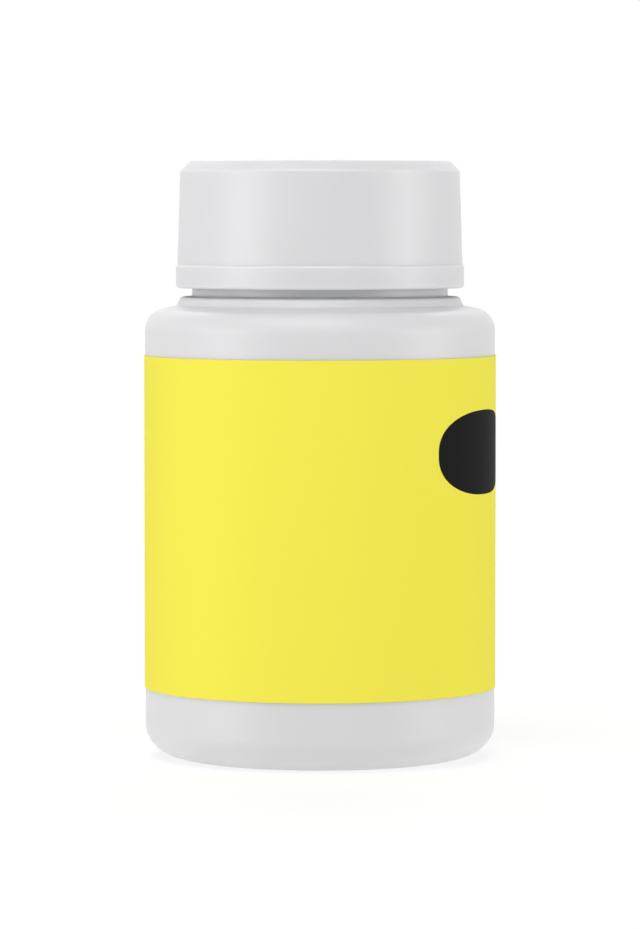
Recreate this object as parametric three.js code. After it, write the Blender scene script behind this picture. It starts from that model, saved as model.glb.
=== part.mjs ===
// Dip-in nail polish remover pot, in millimetres, +Z up.
// A blow-moulded bottle carries a wrap label and holds a foam sponge with a finger hole.
// A one-piece screw cap closes the neck, and a foam liner in the cap seals on the rim.
// The origin is the centre of the base plane, and the front of the label faces -Y.

import * as THREE from "three";

// Driving dimensions of the bottle's body
const bodyDiameter = 49.7;
const bottleWall = 1.2;
const shoulderHeight = 64.1; // base plane to the foot of the collar
const shoulderRound = 3.1;
const insideCorner = 0.5; // smallest round that the inside of the shoulder takes
const shoulderSlope = THREE.MathUtils.degToRad(12); // fall of the shoulder away from the collar
const heelWidth = 5.6; // the heel's curve, across from the foot ring to the side wall
const heelHeight = 4.45;
const footWidth = 2.0; // flat ring that the bottle stands on
const pushUp = 1.6; // depth of the recess inside the foot ring

// Driving dimensions of the neck
const neckBore = 31.6;
const neckWall = 1.8;
const neckHeight = 16.7; // top of the collar to the sealing rim
const threadDepth = 1.05; // room that the screw thread takes outside the neck wall
const bandProud = 0.55; // plain band below the thread, outside the neck wall
const bandHeight = 2.4;
const collarHeight = 1.2;
const collarRound = 1.5; // across the collar's curve, which takes its whole height
const lipRound = 0.45;
const throatRound = 1.6; // inside, where the neck opens into the body

// Driving dimensions of the cap
const capWall = 0.88; // at the top of the side wall
const capRoof = 1.4;
const capDraft = THREE.MathUtils.degToRad(1.8);
const capChamfer = 1.4;
const capEdgeRound = 0.5; // outer edge of the cap's mouth
const ringHeight = 3.35; // band round the mouth of the cap
const ringProud = 0.22;
const mouthChamfer = 0.6;
const linerBead = 0.5; // ridge that keeps the liner in the cap

// Driving dimensions of the liner, the sponge and the label
const linerThickness = 1.0;
const fingerHole = 14;
const fingerFlare = 4; // widening of the finger hole at the top, on the radius
const spongeRound = 2.0;
const spongeHeadspace = 5.0; // clear height between the sponge and the shoulder's round
const labelThickness = 0.1;
const labelHead = 3.55; // bare straight wall above the label
const labelFoot = 5.45; // bare straight wall below the label
const labelGap = 2.5; // bare strip at the back between the ends of the label

// Clearances
const threadClearance = 0.3; // radial, cap bore to thread crest
const seatClearance = 0.1; // liner to cap roof, and liner to neck rim
const linerClearance = 0.3; // radial, liner to cap bore
const collarInset = 0.15; // collar inside the line of the cap's ring
const capLift = 1.35; // mouth of the closed cap above the collar
const spongeClearance = 0.3;
const labelClearance = 0.05; // adhesive under the label

// Facets
const turnSegments = 60;
const arcDivisions = 2;

// Radii that follow from the driving dimensions, from the neck outwards
const bodyRadius = bodyDiameter / 2;
const innerRadius = bodyRadius - bottleWall;
const boreRadius = neckBore / 2;
const neckRadius = boreRadius + neckWall;
const bandRadius = neckRadius + bandProud;
const capBoreRadius = neckRadius + threadDepth + threadClearance;
const capSideRadius = capBoreRadius + capWall;
const linerRadius = capBoreRadius - linerClearance;

// Heights that follow, from the base upwards
const collarTop = shoulderHeight + collarHeight;
const rimHeight = collarTop + neckHeight;
const linerBottom = rimHeight + seatClearance;
const roofUnderside = linerBottom + linerThickness + seatClearance;
const capTop = roofUnderside + capRoof;
const capMouth = collarTop + capLift;
const ringTop = capMouth + ringHeight;
const chamferFoot = capTop - capChamfer;

// The cap's side wall widens downwards by its draft, and the collar lines up with its ring.
const capFootRadius = capSideRadius + (chamferFoot - ringTop) * Math.tan(capDraft);
const ringRadius = capFootRadius + ringProud;
const collarRadius = ringRadius - collarInset;
const collarEdge = collarRadius - collarRound;

// Height of the shoulder's sloping land at a radius, taken in square to its slope by an inset
function landHeight(radius, inset) {
  const fall = (radius - collarRadius) * Math.tan(shoulderSlope);
  return shoulderHeight - fall - inset / Math.cos(shoulderSlope);
}

// The shoulder's round fits between the collar and the side wall, and its inside follows it.
const shoulderRadius = Math.min(shoulderRound, bodyRadius - collarRadius);
const shoulderCentre = bodyRadius - shoulderRadius;
const shoulderStart = landHeight(shoulderCentre, shoulderRadius);
const insideRadius = Math.max(shoulderRadius - bottleWall, insideCorner);
const insideCentre = innerRadius - insideRadius;
const insideStart = landHeight(insideCentre, bottleWall + insideRadius);
const throatRadius = boreRadius + throatRound;
const throatHeight = landHeight(throatRadius, bottleWall);

// The wall keeps about one thickness round the heel and over the slope of the base recess.
const footOuter = bodyRadius - heelWidth;
const footInner = footOuter - footWidth;
const heelInsideWidth = heelWidth - bottleWall;
const heelInsideHeight = heelHeight - bottleWall;
const recessRadius = footInner - pushUp;
const recessOffset = bottleWall * Math.tan(Math.PI / 8);
const panelHeight = pushUp + bottleWall;

const right = 0;
const up = Math.PI / 2;
const left = Math.PI;
const down = -Math.PI / 2;

// Turns a closed half-section, drawn anticlockwise as radius and height, about the Z axis.
function revolve(section) {
  const outline = section.getPoints(arcDivisions);
  return new THREE.LatheGeometry(outline, turnSegments).rotateX(up);
}

function named(name, geometry, look) {
  const mesh = new THREE.Mesh(geometry, new THREE.MeshStandardMaterial(look));
  mesh.name = name;
  return mesh;
}

// Bottle: foot ring and heel, side wall, shoulder, collar and neck, then the inside back to the axis.
function bottleSection() {
  const section = new THREE.Path();
  section.moveTo(0, pushUp);
  section.lineTo(recessRadius, pushUp);
  section.lineTo(footInner, 0);
  section.lineTo(footOuter, 0);
  section.absellipse(footOuter, heelHeight, heelWidth, heelHeight, down, right, false);
  section.absarc(shoulderCentre, shoulderStart, shoulderRadius, right, up - shoulderSlope, false);
  section.absellipse(collarEdge, shoulderHeight, collarRound, collarHeight, right, up, false);
  section.lineTo(bandRadius, collarTop);
  section.lineTo(bandRadius, collarTop + bandHeight);
  section.lineTo(neckRadius, collarTop + bandHeight + bandProud);
  section.absarc(neckRadius - lipRound, rimHeight - lipRound, lipRound, right, up, false);
  section.absarc(boreRadius + lipRound, rimHeight - lipRound, lipRound, up, left, false);
  section.absarc(throatRadius, throatHeight + throatRound, throatRound, left, left + up, false);
  section.absarc(insideCentre, insideStart, insideRadius, up - shoulderSlope, right, true);
  section.absellipse(footOuter, heelHeight, heelInsideWidth, heelInsideHeight, right, down, true);
  section.lineTo(footInner + recessOffset, bottleWall);
  section.lineTo(recessRadius + recessOffset, panelHeight);
  section.lineTo(0, panelHeight);
  return section;
}

// Cap: roof underside, liner bead and bore, mouth, ring, drafted side wall and chamfered top.
function capSection() {
  const beadTop = linerBottom - seatClearance;
  const section = new THREE.Path();
  section.moveTo(0, roofUnderside);
  section.lineTo(capBoreRadius, roofUnderside);
  section.lineTo(capBoreRadius, beadTop);
  section.lineTo(capBoreRadius - linerBead, beadTop - linerBead);
  section.lineTo(capBoreRadius, beadTop - 2 * linerBead);
  section.lineTo(capBoreRadius, capMouth + mouthChamfer);
  section.lineTo(capBoreRadius + mouthChamfer, capMouth);
  section.absarc(ringRadius - capEdgeRound, capMouth + capEdgeRound, capEdgeRound, down, right, false);
  section.lineTo(ringRadius, ringTop - ringProud);
  section.lineTo(capFootRadius, ringTop);
  section.lineTo(capSideRadius, chamferFoot);
  section.lineTo(capSideRadius - capChamfer, capTop);
  section.lineTo(0, capTop);
  return section;
}

// Liner: a flat disc between the cap's roof and the neck rim.
function linerSection() {
  const section = new THREE.Path();
  section.moveTo(0, linerBottom);
  section.lineTo(linerRadius, linerBottom);
  section.lineTo(linerRadius, linerBottom + linerThickness);
  section.lineTo(0, linerBottom + linerThickness);
  return section;
}

// Sponge: a foam plug on the raised floor, with a finger hole right through that flares at the top.
function spongeSection() {
  const bottom = panelHeight + spongeClearance;
  const top = insideStart - spongeHeadspace;
  const outer = innerRadius - spongeClearance;
  const hole = fingerHole / 2;
  const section = new THREE.Path();
  section.moveTo(hole, bottom);
  section.lineTo(outer - spongeRound, bottom);
  section.absarc(outer - spongeRound, bottom + spongeRound, spongeRound, down, right, false);
  section.absarc(outer - spongeRound, top - spongeRound, spongeRound, right, up, false);
  section.absarc(hole + fingerFlare, top - fingerFlare, fingerFlare, up, left, false);
  section.lineTo(hole, bottom);
  return section;
}

// Label: a film wrapped round the straight wall, with its ends a short gap apart at the back.
function labelGeometry() {
  const inner = bodyRadius + labelClearance;
  const outer = inner + labelThickness;
  const halfGap = labelGap / 2 / outer;
  const start = Math.PI / 2 + halfGap;
  const end = (5 * Math.PI) / 2 - halfGap;
  const outline = new THREE.Shape();
  outline.absarc(0, 0, outer, start, end, false);
  outline.absarc(0, 0, inner, end, start, true);
  const bottom = heelHeight + labelFoot;
  const depth = shoulderStart - labelHead - bottom;
  const film = { depth, bevelEnabled: false, curveSegments: turnSegments / 2 };
  return new THREE.ExtrudeGeometry(outline, film).translate(0, 0, bottom);
}

const whitePlastic = { color: 0xe6e6e8, roughness: 0.35, metalness: 0 };
const capPlastic = { color: 0xe8e8ea, roughness: 0.25, metalness: 0 };
const yellowFilm = { color: 0xf4ea55, roughness: 0.4, metalness: 0 };
const whiteFoam = { color: 0xf2f1ec, roughness: 0.9, metalness: 0 };
const paleSponge = { color: 0xf0ead2, roughness: 1, metalness: 0 };

const pot = new THREE.Group();
pot.add(named("bottle", revolve(bottleSection()), whitePlastic));
pot.add(named("label", labelGeometry(), yellowFilm));
pot.add(named("dip_sponge", revolve(spongeSection()), paleSponge));

// The cap and its liner leave the bottle together.
const closure = new THREE.Group();
closure.add(named("cap", revolve(capSection()), capPlastic));
closure.add(named("cap_liner", revolve(linerSection()), whiteFoam));
pot.add(closure);

export default pot;
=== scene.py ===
"""Looks for a dip-in remover pot: turned plastic with a screw thread, a printed label and foam."""

import math

import bmesh
import bpy
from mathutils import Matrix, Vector, noise


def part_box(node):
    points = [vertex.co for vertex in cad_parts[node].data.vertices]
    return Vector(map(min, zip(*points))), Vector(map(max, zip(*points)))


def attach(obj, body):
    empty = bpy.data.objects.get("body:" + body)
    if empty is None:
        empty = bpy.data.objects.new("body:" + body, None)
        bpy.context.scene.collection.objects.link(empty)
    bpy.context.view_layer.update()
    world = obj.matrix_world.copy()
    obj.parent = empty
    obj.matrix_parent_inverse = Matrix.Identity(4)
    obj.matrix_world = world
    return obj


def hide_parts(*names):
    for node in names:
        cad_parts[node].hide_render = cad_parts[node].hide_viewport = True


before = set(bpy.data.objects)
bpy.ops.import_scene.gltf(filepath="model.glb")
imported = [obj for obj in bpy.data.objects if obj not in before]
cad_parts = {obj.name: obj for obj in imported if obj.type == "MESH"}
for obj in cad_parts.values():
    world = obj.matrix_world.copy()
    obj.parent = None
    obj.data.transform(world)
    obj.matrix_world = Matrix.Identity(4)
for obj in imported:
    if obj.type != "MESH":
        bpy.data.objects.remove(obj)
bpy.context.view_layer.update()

MM = 0.001
INCH = 25.4 * MM
TINY = 1e-7

# Fineness of the meshes
TURN_SEGMENTS = 192
LINER_SEGMENTS = 128
SPONGE_SEGMENTS = 256
SPONGE_STEP = 0.5 * MM
THREAD_STEP = 0.16 * MM
HEEL_STEPS = 16
PINCH_STEPS = 24
LABEL_CORNER_STEPS = 10
LABEL_SIDE_STEPS = 200
ARC_STEP = math.radians(7)
SHARP_ANGLE = math.radians(40)

# Sizes from the frame
bottle_low, bottle_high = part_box("bottle")
cap_low, cap_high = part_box("cap")
liner_low, liner_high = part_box("cap_liner")
label_low, label_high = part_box("label")
sponge_low, sponge_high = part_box("dip_sponge")
BODY_RADIUS = bottle_high.x
RIM = bottle_high.z
CAP_MOUTH = cap_low.z
CAP_TOP = cap_high.z
RING_RADIUS = cap_high.x
LINER_RADIUS = liner_high.x
SPONGE_RADIUS = sponge_high.x

# Bottle, where an edge or a crease is the round of a corner
WALL = 1.2 * MM
SHOULDER_HEIGHT = 64.1 * MM
SHOULDER_ROUND = 3.1 * MM
SHOULDER_SLOPE = math.radians(12)
HEEL_WIDTH = 5.6 * MM
HEEL_HEIGHT = 4.45 * MM
FOOT_WIDTH = 2.0 * MM
FOOT_EDGE = 0.5 * MM
FOOT_OUTER = BODY_RADIUS - HEEL_WIDTH
FOOT_INNER = FOOT_OUTER - FOOT_WIDTH
PUSH_UP = 1.6 * MM
RECESS_CREASE = 0.8 * MM
COLLAR_INSET = 0.15 * MM
COLLAR_RADIUS = RING_RADIUS - COLLAR_INSET
COLLAR_TOP = 65.42 * MM
COLLAR_LEAN = 0.53 * MM
COLLAR_EDGE = 0.8 * MM
COLLAR_CREASE = 0.4 * MM
BAND_RADIUS = 18.15 * MM
BAND_HEIGHT = 2.4 * MM
BAND_EDGE = 0.2 * MM
NECK_RADIUS = 17.6 * MM
NECK_BORE = 15.8 * MM
NECK_CREASE = 0.3 * MM
LIP_EDGE = 0.45 * MM
THROAT_EDGE = 1.6 * MM

# Marks that the blow mould leaves on the bottle
SEAM_HALF = 0.14 * MM
SEAM_PROUD = 0.03 * MM
SEAM_FOOT = 0.7 * MM
PINCH_HALF = 0.35 * MM
PINCH_PROUD = 0.22 * MM
PINCH_REACH = 11 * MM
PINCH_TAPER = 2.5 * MM
PINCH_LEAST = 0.1
MARK_SINK = 0.1 * MM

# Cap
CAP_BORE = 18.95 * MM
CAP_SIDE = 19.83 * MM
CAP_CHAMFER = 1.4 * MM
CAP_ROOF = 1.4 * MM
ROOF_CREASE = 0.15 * MM
SIDE_EDGE = 0.5 * MM
TOP_EDGE = 0.4 * MM
RING_HEIGHT = 3.35 * MM
RING_PROUD = 0.22 * MM
RING_EDGE = 0.12 * MM
RING_CREASE = 0.1 * MM
RING_FOOT_EDGE = 0.4 * MM
CAP_FOOT = RING_RADIUS - RING_PROUD
MOUTH_CHAMFER = 0.6 * MM
MOUTH_INNER_EDGE = 0.2 * MM
MOUTH_OUTER_EDGE = 0.15 * MM
BEAD = 0.5 * MM
BEAD_EDGE = 0.2 * MM
BEAD_CREASE = 0.1 * MM
BEAD_PLAY = 0.1 * MM
BEAD_TOP = liner_low.z - BEAD_PLAY

# Dimple with a stub on the cap's top, where the plastic ran into the mould
GATE_RADIUS = 2.0 * MM
GATE_DEPTH = 0.25 * MM
GATE_EDGE = 0.15 * MM
GATE_CREASE = 0.1 * MM
STUB_RADIUS = 0.5 * MM
STUB_LEAN = 0.1 * MM
STUB_EDGE = 0.05 * MM
STUB_EDGE_SINK = 0.08 * MM
STUB_MIDDLE_SINK = 0.06 * MM

# Liner, with the neck's rim printed into it
LINER_EDGE = 0.15 * MM
PRINT_DEPTH = 0.12 * MM
PRINT_SLOPE = 0.2 * MM
PRINT_EDGE = 0.1 * MM

# Screw thread, right-handed, on the neck and in the cap
TURNS_TO_THE_INCH = 6
PITCH = INCH / TURNS_TO_THE_INCH
THREAD_TURNS = 1.25
THREAD_ROOT = 2.2 * MM
THREAD_CREST = 0.9 * MM
NECK_THREAD_DEPTH = 1.05 * MM
CAP_THREAD_DEPTH = 1.0 * MM
THREAD_RUN_OUT = 0.07
THREAD_BELOW_RIM = 1.9 * MM
THREAD_PLAY = 1.7 * MM
NECK_THREAD_FOOT = RIM - THREAD_BELOW_RIM - PITCH * THREAD_TURNS
CAP_THREAD_FOOT = NECK_THREAD_FOOT - THREAD_PLAY

# Label, with its oval given on the wrapped film
LABEL_GLUE = 0.05 * MM
LABEL_THICKNESS = 0.1 * MM
LABEL_INNER = BODY_RADIUS + LABEL_GLUE
LABEL_OUTER = LABEL_INNER + LABEL_THICKNESS
LABEL_GAP = 2.5 * MM
LABEL_CORNER = 1.6 * MM
OVAL_BEARING = math.radians(67.2)
OVAL_HEIGHT = 43.8 * MM
OVAL_HALF_WIDTH = 11.4 * MM
OVAL_HALF_HEIGHT = 5.93 * MM
OVAL_POWER = 2.4

# Sponge, whose cut cells are pits
FINGER_HOLE = 7.0 * MM
FINGER_FLARE = 4.0 * MM
FINGER_EDGE = 0.5 * MM
SPONGE_ROUND = 2.0 * MM
PORE_SIZE = 1.5 * MM
PORE_DEPTH = 0.4 * MM
PORE_REACH = 0.55

# White plastic: its colours, roughness, depth of light, and the spread and depth of its marks
PLASTIC_WHITE = (0.68, 0.68, 0.692)
MARK_WHITE = (0.66, 0.66, 0.67)
PLASTIC_ROUGHNESS = (0.37, 0.47)
PLASTIC_IOR = 1.5
LIGHT_DEPTH = 1.2 * MM
LIGHT_REACH = (1, 0.95, 0.9)
CLOUD_SIZE = 14 * MM
CLOUD_TINT = 0.015
WAVE_SIZE = 9 * MM
SPECK_SIZE = 0.35 * MM
BOTTLE_WAVE = 0.05 * MM
BOTTLE_GRAIN = 0.004 * MM
CAP_WAVE = 0.03 * MM
CAP_GRAIN = 0.002 * MM

# Printed film
LABEL_YELLOW = (0.865, 0.785, 0.081)
LABEL_BLACK = (0.008, 0.007, 0.0075)
FILM_ROUGHNESS = (0.6, 0.7)
FILM_IOR = 1.48
FILM_SHINE = 0.06
FILM_CLOUD_SIZE = 12 * MM
FILM_WAVE_SIZE = 5 * MM
FILM_WAVE = 0.02 * MM
INK_SIZE = 0.18 * MM
INK_GRAIN = 0.004 * MM

# Foam
LINER_WHITE = (0.82, 0.82, 0.78)
LINER_CELL = 0.25 * MM
LINER_CELL_DEPTH = 0.03 * MM
SPONGE_CREAM = (0.84, 0.78, 0.58)
SPONGE_CELL = 0.9 * MM
SPONGE_CELL_DEPTH = 0.25 * MM
FOAM_ROUGHNESS = (0.95, 0.8)
FOAM_IOR = 1.3
FOAM_CLOUD_SIZE = 8 * MM

# View of the photograph, whose frame is 640 by 929 pixels
IMAGE_WIDTH = 640
PIXEL = 0.1424 * MM
CAMERA_DISTANCE = 0.673
EYE_HEIGHT = 78.0 * MM
AIM_HEIGHT = 41.48 * MM
SENSOR_WIDTH = 36
CLIP_START = 0.01

# Floor: what it gives back and gives off, the matt share and white it shows, and the shadow's fade
FLOOR_HALF = 6
FLOOR_DROP = 0.02 * MM
FLOOR_WHITE = 0.35
FLOOR_GLOW = 0.62
FLOOR_SHADOW = 0.30
FLOOR_SHOWN = 0.73
FLOOR_NEAR = 0.10
FLOOR_FAR = 0.35

# Light: the room's level, and each lamp's place, size and watts
ROOM_LEVEL = 0.21
LAMPS = {
    "key": ((-0.88, -0.47, 0.12), (0.6, 0.4), 4.1),
    "fill": ((0.96, -0.28, 0.12), (0.5, 0.4), 4.1),
    "front": ((-0.10, -0.75, 0.70), (0.9, 0.5), 1.9),
    "top": ((-0.15, -0.36, 0.95), (0.85, 0.5), 4.0),
    "back": ((0.0, 0.70, 0.85), (0.8, 0.5), 4.6),
}


def smooth_step(value):
    """Eases from 0 to 1 and stays there on both sides."""
    value = min(max(value, 0), 1)
    return value * value * (3 - 2 * value)


def rounded(corners, closed=False):
    """Points of an outline of (radius, height, round) corners, with an arc at each round one."""
    points = []
    count = len(corners)
    for k, (radius, height, size) in enumerate(corners):
        here = Vector((radius, height))
        if size == 0 or (not closed and k in (0, count - 1)):
            points.append(here)
            continue
        back = (Vector(corners[k - 1][:2]) - here).normalized()
        ahead = (Vector(corners[(k + 1) % count][:2]) - here).normalized()
        opening = back.angle(ahead)
        centre = here + (back + ahead).normalized() * size / math.sin(opening / 2)
        spoke = here + back * size / math.tan(opening / 2) - centre
        turn = math.copysign(math.pi - opening, back.y * ahead.x - back.x * ahead.y)
        steps = max(2, math.ceil(abs(turn) / ARC_STEP))
        for s in range(steps + 1):
            angle = turn * s / steps
            x = spoke.x * math.cos(angle) - spoke.y * math.sin(angle)
            y = spoke.x * math.sin(angle) + spoke.y * math.cos(angle)
            points.append(centre + Vector((x, y)))
    return points


def divided(points, step, wanted=None):
    """The same outline, with its stretches cut into steps, or only those at the wanted radius."""
    cut = [points[0]]
    for start, end in zip(points, points[1:]):
        here = wanted is None or (abs(start.x - wanted) < TINY and abs(end.x - wanted) < TINY)
        pieces = max(1, round((end - start).length / step)) if here else 1
        cut += [start.lerp(end, k / pieces) for k in range(1, pieces + 1)]
    return cut


def turned(outline, segments, relief=None, closed=False):
    """Turns an outline, drawn anticlockwise, about Z; relief alters the radius at a bearing."""
    mesh = bmesh.new()
    rings = []
    for radius, height in outline:
        if radius < TINY:
            rings.append([mesh.verts.new((0, 0, height))])
            continue
        ring = []
        for k in range(segments):
            angle = math.tau * k / segments
            r = relief(radius, height, angle) if relief else radius
            ring.append(mesh.verts.new((r * math.cos(angle), r * math.sin(angle), height)))
        rings.append(ring)
    if closed:
        rings.append(rings[0])
    for low, high in zip(rings, rings[1:]):
        for k in range(segments):
            after = (k + 1) % segments
            corners = (low[k % len(low)], low[after % len(low)])
            corners += (high[after % len(high)], high[k % len(high)])
            mesh.faces.new(dict.fromkeys(corners))
    return mesh


def add_strip(mesh, loops):
    """Joins loops of corners, which follow each other, into a closed strip with its ends capped."""
    rows = [[mesh.verts.new(corner) for corner in loop] for loop in loops]
    count = len(rows[0])
    for near, far in zip(rows, rows[1:]):
        for k in range(count):
            after = (k + 1) % count
            mesh.faces.new((near[k], far[k], far[after], near[after]))
    mesh.faces.new(rows[0])
    mesh.faces.new(reversed(rows[-1]))
    bmesh.ops.recalc_face_normals(mesh, faces=mesh.faces)


def ridge_loop(place, outward, sideways, half, proud):
    """Section of a low arched ridge on a surface, with its foot sunk in the surface."""
    flank = 0.75 * proud
    arch = [(-1, -MARK_SINK), (-0.5, flank), (0, proud), (0.5, flank), (1, -MARK_SINK)]
    return [place + sideways * half * across + outward * height for across, height in arch]


def finished(name, mesh):
    """Turns a bmesh into an object with smooth shading and sharp creases."""
    data = bpy.data.meshes.new(name)
    mesh.to_mesh(data)
    mesh.free()
    data.shade_smooth()
    data.set_sharp_from_angle(angle=SHARP_ANGLE)
    piece = bpy.data.objects.new(name, data)
    bpy.context.scene.collection.objects.link(piece)
    weighted = piece.modifiers.new("weighted", "WEIGHTED_NORMAL")
    weighted.keep_sharp = True
    return piece


def placed(piece, body, slot, material, *nodes):
    """Sets a piece's material, the body that it rides on and the CAD nodes that it stands for."""
    piece.data.materials.append(material)
    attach(piece, body)
    if nodes:
        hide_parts(*nodes)


class Nodes:
    """A node tree with short calls for the nodes that the materials share."""

    def __init__(self, tree):
        self.tree = tree
        tree.nodes.clear()

    def add(self, kind, inputs=None, **settings):
        node = self.tree.nodes.new(kind)
        for name, value in settings.items():
            setattr(node, name, value)
        for name, value in (inputs or {}).items():
            if isinstance(value, bpy.types.NodeSocket):
                self.tree.links.new(value, node.inputs[name])
            else:
                node.inputs[name].default_value = value
        return node

    def place(self):
        return self.add("ShaderNodeTexCoord").outputs["Object"]

    def noise(self, place, size, detail=2.0):
        inputs = {"Vector": place, "Scale": 1 / size, "Detail": detail}
        return self.add("ShaderNodeTexNoise", inputs).outputs["Fac"]

    def cells(self, place, size):
        inputs = {"Vector": place, "Scale": 1 / size}
        return self.add("ShaderNodeTexVoronoi", inputs).outputs["Distance"]

    def spread(self, value, low, high, start=0.0, end=1.0):
        inputs = {"Value": value, "From Min": start, "From Max": end, "To Min": low, "To Max": high}
        return self.add("ShaderNodeMapRange", inputs).outputs["Result"]

    def math(self, operation, first, second=0.0):
        return self.add("ShaderNodeMath", {0: first, 1: second}, operation=operation).outputs[0]

    def blend(self, factor, first, second):
        node = self.add("ShaderNodeMix", {0: factor, 6: first, 7: second}, data_type="RGBA")
        return node.outputs[2]

    def bump(self, height, depth, below=None):
        inputs = {"Height": height, "Distance": depth}
        if below:
            inputs["Normal"] = below
        return self.add("ShaderNodeBump", inputs).outputs["Normal"]

    def matt(self, level):
        return self.add("ShaderNodeBsdfDiffuse", {"Color": (level, level, level, 1)}).outputs[0]

    def glow(self, level):
        inputs = {"Color": (1, 1, 1, 1), "Strength": level}
        return self.add("ShaderNodeEmission", inputs).outputs[0]

    def sum(self, first, second):
        return self.add("ShaderNodeAddShader", {0: first, 1: second}).outputs[0]

    def choice(self, factor, first, second):
        return self.add("ShaderNodeMixShader", {0: factor, 1: first, 2: second}).outputs[0]

    def surface(self, shader):
        self.add("ShaderNodeOutputMaterial", {"Surface": shader})


def new_material(name):
    """A material with an empty node tree, and the calls that fill it."""
    material = bpy.data.materials.new(name)
    material.use_nodes = True
    return material, Nodes(material.node_tree)


def shade(colour, factor):
    """A colour for a socket, made lighter or darker."""
    return tuple(channel * factor for channel in colour) + (1,)


def plastic(name, colour, wave, grain, glow):
    """Moulded plastic with slow waves and a fine grain, and a glow of 1 where it lets light in."""
    material, nodes = new_material(name)
    place = nodes.place()
    cloud = nodes.noise(place, CLOUD_SIZE)
    speck = nodes.noise(place, SPECK_SIZE, 3)
    tint = nodes.blend(cloud, shade(colour, 1 - CLOUD_TINT), shade(colour, 1 + CLOUD_TINT))
    slow = nodes.bump(nodes.noise(place, WAVE_SIZE, 1), wave)
    shader = nodes.add("ShaderNodeBsdfPrincipled", {
        "Base Color": tint,
        "Roughness": nodes.spread(speck, *PLASTIC_ROUGHNESS),
        "Normal": nodes.bump(speck, grain, slow),
        "IOR": PLASTIC_IOR,
        "Subsurface Weight": glow,
        "Subsurface Radius": LIGHT_REACH,
        "Subsurface Scale": LIGHT_DEPTH,
    })
    nodes.surface(shader.outputs[0])
    return material


def label_print(name, yellow, black):
    """Matt film printed yellow all over, with one plain black oval towards the right."""
    material, nodes = new_material(name)
    place = nodes.place()
    axes = nodes.add("ShaderNodeSeparateXYZ", {0: place}).outputs
    front = nodes.math("MULTIPLY", axes["Y"], -1.0)
    bearing = nodes.math("SUBTRACT", nodes.math("ARCTAN2", axes["X"], front), OVAL_BEARING)
    across = nodes.math("MULTIPLY", bearing, LABEL_OUTER / OVAL_HALF_WIDTH)
    along = nodes.math("DIVIDE", nodes.math("SUBTRACT", axes["Z"], OVAL_HEIGHT), OVAL_HALF_HEIGHT)
    reach = nodes.math("ADD", *[nodes.math("POWER", nodes.math("ABSOLUTE", share), OVAL_POWER)
                                for share in (across, along)])
    inside = nodes.math("LESS_THAN", reach, 1.0)
    ink = nodes.noise(place, INK_SIZE)
    cloud = nodes.noise(place, FILM_CLOUD_SIZE)
    ground = nodes.blend(cloud, shade(yellow, 0.985), shade(yellow, 1.01))
    mottled = nodes.blend(ink, ground, shade(yellow, 0.98))
    film = nodes.bump(nodes.noise(place, FILM_WAVE_SIZE, 1), FILM_WAVE)
    shader = nodes.add("ShaderNodeBsdfPrincipled", {
        "Base Color": nodes.blend(inside, mottled, shade(black, 1)),
        "Roughness": nodes.spread(ink, *FILM_ROUGHNESS),
        "Normal": nodes.bump(ink, INK_GRAIN, film),
        "IOR": FILM_IOR,
        "Specular IOR Level": FILM_SHINE,
    })
    nodes.surface(shader.outputs[0])
    return material


def foam(name, colour, cell, depth):
    """Foam with open cells, with painted shade that darkens the inside of each."""
    material, nodes = new_material(name)
    place = nodes.place()
    cells = nodes.cells(place, cell)
    cloud = nodes.noise(place, FOAM_CLOUD_SIZE)
    # Painted shade: each cell's colour darkens towards its middle, where its bump dips.
    pits = nodes.blend(nodes.spread(cells, 0.0, 1.4), shade(colour, 0.72), shade(colour, 1.02))
    shader = nodes.add("ShaderNodeBsdfPrincipled", {
        "Base Color": nodes.blend(cloud, pits, shade(colour, 0.95)),
        "Roughness": nodes.spread(cells, *FOAM_ROUGHNESS),
        "Normal": nodes.bump(cells, depth),
        "IOR": FOAM_IOR,
    })
    nodes.surface(shader.outputs[0])
    return material


def ridge(height, angle, foot):
    """How much of the thread's full depth stands at a height and bearing, from 0 to 1."""
    lap = round((height - foot) / PITCH - angle / math.tau)
    along = lap + angle / math.tau
    off = abs(height - foot - PITCH * along)
    flank = (THREAD_ROOT - THREAD_CREST) / 2
    ends = min(along, THREAD_TURNS - along) / THREAD_RUN_OUT
    return smooth_step((THREAD_ROOT / 2 - off) / flank) * smooth_step(ends)


def land_height(radius, inset):
    """Height of the shoulder's sloping land, taken in square to its slope by an inset."""
    fall = (radius - COLLAR_RADIUS) * math.tan(SHOULDER_SLOPE)
    return SHOULDER_HEIGHT - fall - inset / math.cos(SHOULDER_SLOPE)


def heel(inset):
    """Corners along the heel's quarter ellipse, from the foot ring out to the side wall."""
    width, height = HEEL_WIDTH - inset, HEEL_HEIGHT - inset
    corners = []
    for k in range(HEEL_STEPS + 1):
        t = math.pi / 2 * k / HEEL_STEPS
        corners.append((FOOT_OUTER + width * math.sin(t), HEEL_HEIGHT - height * math.cos(t), 0))
    return corners


def outside_corners():
    """Corners of the bottle's outside, from the heel up to the rim."""
    band_top = COLLAR_TOP + BAND_HEIGHT
    return heel(0) + [
        (BODY_RADIUS, land_height(BODY_RADIUS, 0), SHOULDER_ROUND),
        (COLLAR_RADIUS, SHOULDER_HEIGHT, COLLAR_CREASE),
        (COLLAR_RADIUS - COLLAR_LEAN, COLLAR_TOP, COLLAR_EDGE),
        (BAND_RADIUS, COLLAR_TOP, NECK_CREASE),
        (BAND_RADIUS, band_top, BAND_EDGE),
        (NECK_RADIUS, band_top + BAND_RADIUS - NECK_RADIUS, NECK_CREASE),
        (NECK_RADIUS, RIM, LIP_EDGE),
    ]


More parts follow.
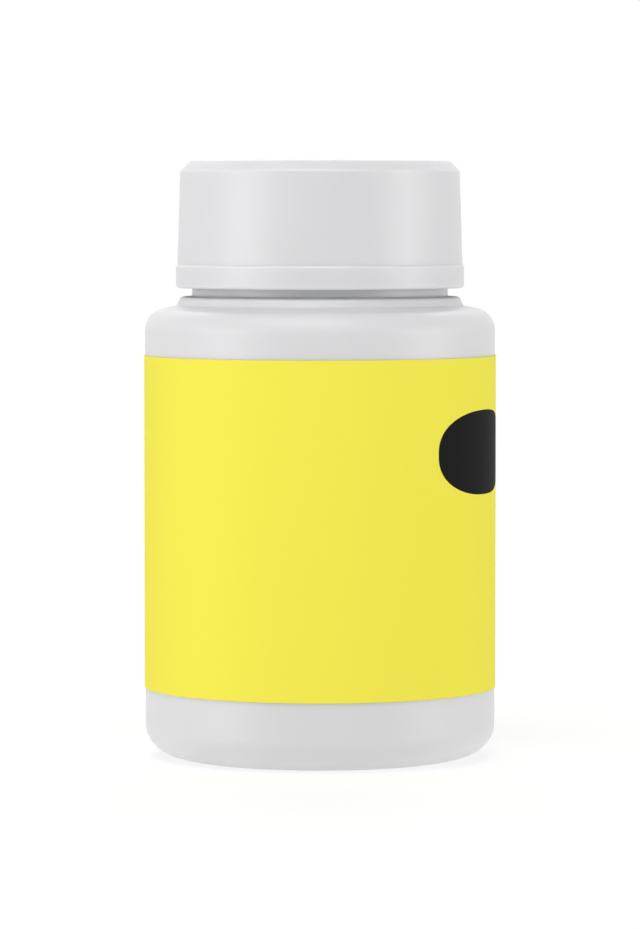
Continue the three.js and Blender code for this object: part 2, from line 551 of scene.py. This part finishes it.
def bottle_body(material):
    """A shell of one wall thickness, with a recessed base and a threaded neck."""
    inner = BODY_RADIUS - WALL
    recess = FOOT_INNER - PUSH_UP
    offset = WALL * math.tan(math.pi / 8)
    base = [(0, PUSH_UP, 0), (recess, PUSH_UP, RECESS_CREASE), (FOOT_INNER, 0, FOOT_EDGE)]
    inside = [
        (NECK_BORE, RIM, LIP_EDGE),
        (NECK_BORE, land_height(NECK_BORE, WALL), THROAT_EDGE),
        (inner, land_height(inner, WALL), SHOULDER_ROUND - WALL),
        *reversed(heel(WALL)),
        (FOOT_INNER + offset, WALL, FOOT_EDGE),
        (recess + offset, PUSH_UP + WALL, FOOT_EDGE),
        (0, PUSH_UP + WALL, 0),
    ]

    def relief(radius, height, angle):
        if abs(radius - NECK_RADIUS) < TINY:
            radius += NECK_THREAD_DEPTH * ridge(height, angle, NECK_THREAD_FOOT)
        return radius

    outline = divided(rounded(base + outside_corners() + inside), THREAD_STEP, NECK_RADIUS)
    piece = finished("bottle_body", turned(outline, TURN_SEGMENTS, relief))
    placed(piece, "bottle", "white_bottle", material, "bottle")


def mould_seams(material):
    """Fine ridges at +X and -X where the mould's halves met, from the heel to the neck's band."""
    outline = rounded(outside_corners())
    mesh = bmesh.new()
    for side in (1, -1):
        loops = []
        for before, here, after in zip(outline, outline[1:], outline[2:]):
            if SEAM_FOOT < here.y < COLLAR_TOP + BAND_HEIGHT:
                along = (after - before).normalized()
                outward = Vector((side * along.y, 0, -along.x))
                place = Vector((side * here.x, 0, here.y))
                loops.append(ridge_loop(place, outward, Vector((0, 1, 0)), SEAM_HALF, SEAM_PROUD))
        add_strip(mesh, loops)
    placed(finished("mould_seams", mesh), "bottle", "white_bottle", material)


def pinch_off(material):
    """The scar across the base recess where the mould nipped the tube of plastic shut."""
    loops = []
    for k in range(PINCH_STEPS + 1):
        x = PINCH_REACH * (2 * k / PINCH_STEPS - 1)
        taper = smooth_step((PINCH_REACH - abs(x)) / PINCH_TAPER)
        share = PINCH_LEAST + (1 - PINCH_LEAST) * taper
        place = Vector((x, 0, PUSH_UP))
        loops.append(ridge_loop(place, Vector((0, 0, -1)), Vector((0, 1, 0)),
                                PINCH_HALF * share, PINCH_PROUD * share))
    mesh = bmesh.new()
    add_strip(mesh, loops)
    placed(finished("pinch_off", mesh), "bottle", "white_bottle", material)


def cap_body(material):
    """A threaded cap with a bead for the liner, a ring at its mouth and a gate mark on its top."""
    roof = CAP_TOP - CAP_ROOF
    ring_top = CAP_MOUTH + RING_HEIGHT
    corners = [
        (0, roof, 0),
        (CAP_BORE, roof, ROOF_CREASE),
        (CAP_BORE, BEAD_TOP, BEAD_CREASE),
        (CAP_BORE - BEAD, BEAD_TOP - BEAD, BEAD_EDGE),
        (CAP_BORE, BEAD_TOP - 2 * BEAD, BEAD_CREASE),
        (CAP_BORE, CAP_MOUTH + MOUTH_CHAMFER, MOUTH_INNER_EDGE),
        (CAP_BORE + MOUTH_CHAMFER, CAP_MOUTH, MOUTH_OUTER_EDGE),
        (RING_RADIUS, CAP_MOUTH, RING_FOOT_EDGE),
        (RING_RADIUS, ring_top - RING_PROUD, RING_EDGE),
        (CAP_FOOT, ring_top, RING_CREASE),
        (CAP_SIDE, CAP_TOP - CAP_CHAMFER, SIDE_EDGE),
        (CAP_SIDE - CAP_CHAMFER, CAP_TOP, TOP_EDGE),
        (GATE_RADIUS + GATE_DEPTH, CAP_TOP, GATE_EDGE),
        (GATE_RADIUS, CAP_TOP - GATE_DEPTH, GATE_CREASE),
        (STUB_RADIUS + STUB_LEAN, CAP_TOP - GATE_DEPTH, STUB_EDGE),
        (STUB_RADIUS, CAP_TOP - STUB_EDGE_SINK, STUB_EDGE),
        (0, CAP_TOP - STUB_MIDDLE_SINK, 0),
    ]

    def relief(radius, height, angle):
        if abs(radius - CAP_BORE) < TINY:
            radius -= CAP_THREAD_DEPTH * ridge(height, angle, CAP_THREAD_FOOT)
        return radius

    outline = divided(rounded(corners), THREAD_STEP, CAP_BORE)
    piece = finished("cap_body", turned(outline, TURN_SEGMENTS, relief))
    placed(piece, "cap", "white_cap", material, "cap")


def liner_disc(material):
    """A foam disc with the neck's rim pressed into its underside."""
    low, high = liner_low.z, liner_high.z
    corners = [
        (0, low, 0),
        (NECK_BORE, low, PRINT_EDGE),
        (NECK_BORE + PRINT_SLOPE, low + PRINT_DEPTH, PRINT_EDGE),
        (NECK_RADIUS - PRINT_SLOPE, low + PRINT_DEPTH, PRINT_EDGE),
        (NECK_RADIUS, low, PRINT_EDGE),
        (LINER_RADIUS, low, LINER_EDGE),
        (LINER_RADIUS, high, LINER_EDGE),
        (0, high, 0),
    ]
    piece = finished("liner_disc", turned(rounded(corners), LINER_SEGMENTS))
    placed(piece, "liner", "liner_foam", material, "cap_liner")


def sponge_plug(material):
    """A foam plug pitted all over by its cut cells, with a flared finger hole."""
    low, high = sponge_low.z, sponge_high.z
    corners = [
        (FINGER_HOLE, low, FINGER_EDGE),
        (SPONGE_RADIUS, low, SPONGE_ROUND),
        (SPONGE_RADIUS, high, SPONGE_ROUND),
        (FINGER_HOLE, high, FINGER_FLARE),
    ]
    outline = rounded(corners, closed=True)
    outline = divided(outline + outline[:1], SPONGE_STEP)[:-1]
    mesh = turned(outline, SPONGE_SEGMENTS, closed=True)
    mesh.normal_update()
    pits = []
    for vert in mesh.verts:
        nearest = noise.voronoi(vert.co / PORE_SIZE)[0][0]
        pits.append(vert.normal * PORE_DEPTH * smooth_step(1 - nearest / PORE_REACH))
    for vert, pit in zip(mesh.verts, pits):
        vert.co -= pit
    piece = finished("sponge_plug", mesh)
    placed(piece, "bottle", "sponge_foam", material, "dip_sponge")


def label_film(material):
    """A wrapped film with rounded corners at its two ends, which stand a gap apart at the back."""
    low, high = label_low.z, label_high.z
    half = math.pi * LABEL_OUTER - LABEL_GAP / 2
    straight = half - LABEL_CORNER
    turns = [math.pi / 2 * k / LABEL_CORNER_STEPS for k in range(LABEL_CORNER_STEPS)]
    ease = [LABEL_CORNER * (1 - math.cos(turn)) for turn in turns]
    places = [-half + e for e in ease]
    places += [straight * (2 * k / LABEL_SIDE_STEPS - 1) for k in range(LABEL_SIDE_STEPS + 1)]
    places += [half - e for e in reversed(ease)]
    loops = []
    for place in places:
        past = max(abs(place) - straight, 0)
        inset = LABEL_CORNER - math.sqrt(max(LABEL_CORNER ** 2 - past ** 2, 0))
        angle = place / LABEL_OUTER - math.pi / 2
        section = [(LABEL_INNER, low + inset), (LABEL_OUTER, low + inset)]
        section += [(LABEL_OUTER, high - inset), (LABEL_INNER, high - inset)]
        loops.append([(r * math.cos(angle), r * math.sin(angle), z) for r, z in section])
    mesh = bmesh.new()
    add_strip(mesh, loops)
    placed(finished("label_film", mesh), "bottle", "yellow_label", material, "label")


def area_light(name, place, size, power):
    """A soft lamp, aimed where the camera looks."""
    data = bpy.data.lights.new(name, "AREA")
    data.shape = "RECTANGLE"
    data.size, data.size_y = size
    data.energy = power
    lamp = bpy.data.objects.new(name, data)
    bpy.context.scene.collection.objects.link(lamp)
    lamp.location = place
    aim = Vector((0, 0, AIM_HEIGHT)) - lamp.location
    lamp.rotation_euler = aim.to_track_quat("-Z", "Y").to_euler()


def seen_directly(nodes):
    """1 on camera, glossy and transmission rays, which show the white background."""
    path = nodes.add("ShaderNodeLightPath").outputs
    shown = nodes.math("MAXIMUM", path["Is Camera Ray"], path["Is Glossy Ray"])
    return nodes.math("MAXIMUM", shown, path["Is Transmission Ray"])


def studio():
    """A floor that shows white with a soft shadow, an even white room and soft lamps."""
    mesh = bmesh.new()
    bmesh.ops.create_grid(mesh, x_segments=1, y_segments=1, size=FLOOR_HALF)
    floor = finished("floor", mesh)
    floor.location.z = -FLOOR_DROP
    material, nodes = new_material("floor_white")
    table = nodes.sum(nodes.matt(FLOOR_WHITE), nodes.glow(FLOOR_GLOW))
    near = nodes.sum(nodes.matt(FLOOR_SHADOW), nodes.glow(FLOOR_SHOWN))
    away = nodes.add("ShaderNodeVectorMath", {0: nodes.place()}, operation="LENGTH")
    fade = nodes.spread(away.outputs["Value"], 0.0, 1.0, FLOOR_NEAR, FLOOR_FAR)
    shown = nodes.choice(fade, near, nodes.glow(1.0))
    nodes.surface(nodes.choice(seen_directly(nodes), table, shown))
    floor.data.materials.append(material)

    world = bpy.data.worlds.new("room")
    bpy.context.scene.world = world
    world.use_nodes = True
    nodes = Nodes(world.node_tree)
    strength = nodes.spread(seen_directly(nodes), ROOM_LEVEL, 1.0)
    room = nodes.add("ShaderNodeBackground", {"Color": (1, 1, 1, 1), "Strength": strength})
    nodes.add("ShaderNodeOutputWorld", {"Surface": room.outputs[0]})

    for name, (place, size, power) in LAMPS.items():
        area_light(name, place, size, power)


def camera():
    """The photograph's view, whose lens gives the fitted size of a pixel on the axis."""
    data = bpy.data.cameras.new("camera")
    eye = bpy.data.objects.new("camera", data)
    bpy.context.scene.collection.objects.link(eye)
    eye.location = (0, -CAMERA_DISTANCE, EYE_HEIGHT)
    line = Vector((0, 0, AIM_HEIGHT)) - eye.location
    eye.rotation_euler = line.to_track_quat("-Z", "Y").to_euler()
    data.sensor_fit = "HORIZONTAL"
    data.sensor_width = SENSOR_WIDTH
    data.lens = SENSOR_WIDTH * line.length / (IMAGE_WIDTH * PIXEL)
    data.clip_start = CLIP_START
    bpy.context.scene.camera = eye


# The mould marks have no glow, because strips so thin lose the light that they let in.
bottle_white = plastic("bottle_white", PLASTIC_WHITE, BOTTLE_WAVE, BOTTLE_GRAIN, 1)
cap_white = plastic("cap_white", PLASTIC_WHITE, CAP_WAVE, CAP_GRAIN, 1)
mark_white = plastic("mark_white", MARK_WHITE, BOTTLE_WAVE, BOTTLE_GRAIN, 0)
bottle_body(bottle_white)
mould_seams(mark_white)
pinch_off(mark_white)
cap_body(cap_white)
liner_disc(foam("liner_foam", LINER_WHITE, LINER_CELL, LINER_CELL_DEPTH))
sponge_plug(foam("sponge_foam", SPONGE_CREAM, SPONGE_CELL, SPONGE_CELL_DEPTH))
label_film(label_print("yellow_print", LABEL_YELLOW, LABEL_BLACK))

camera()
studio()
bpy.context.scene.view_settings.view_transform = "Standard"
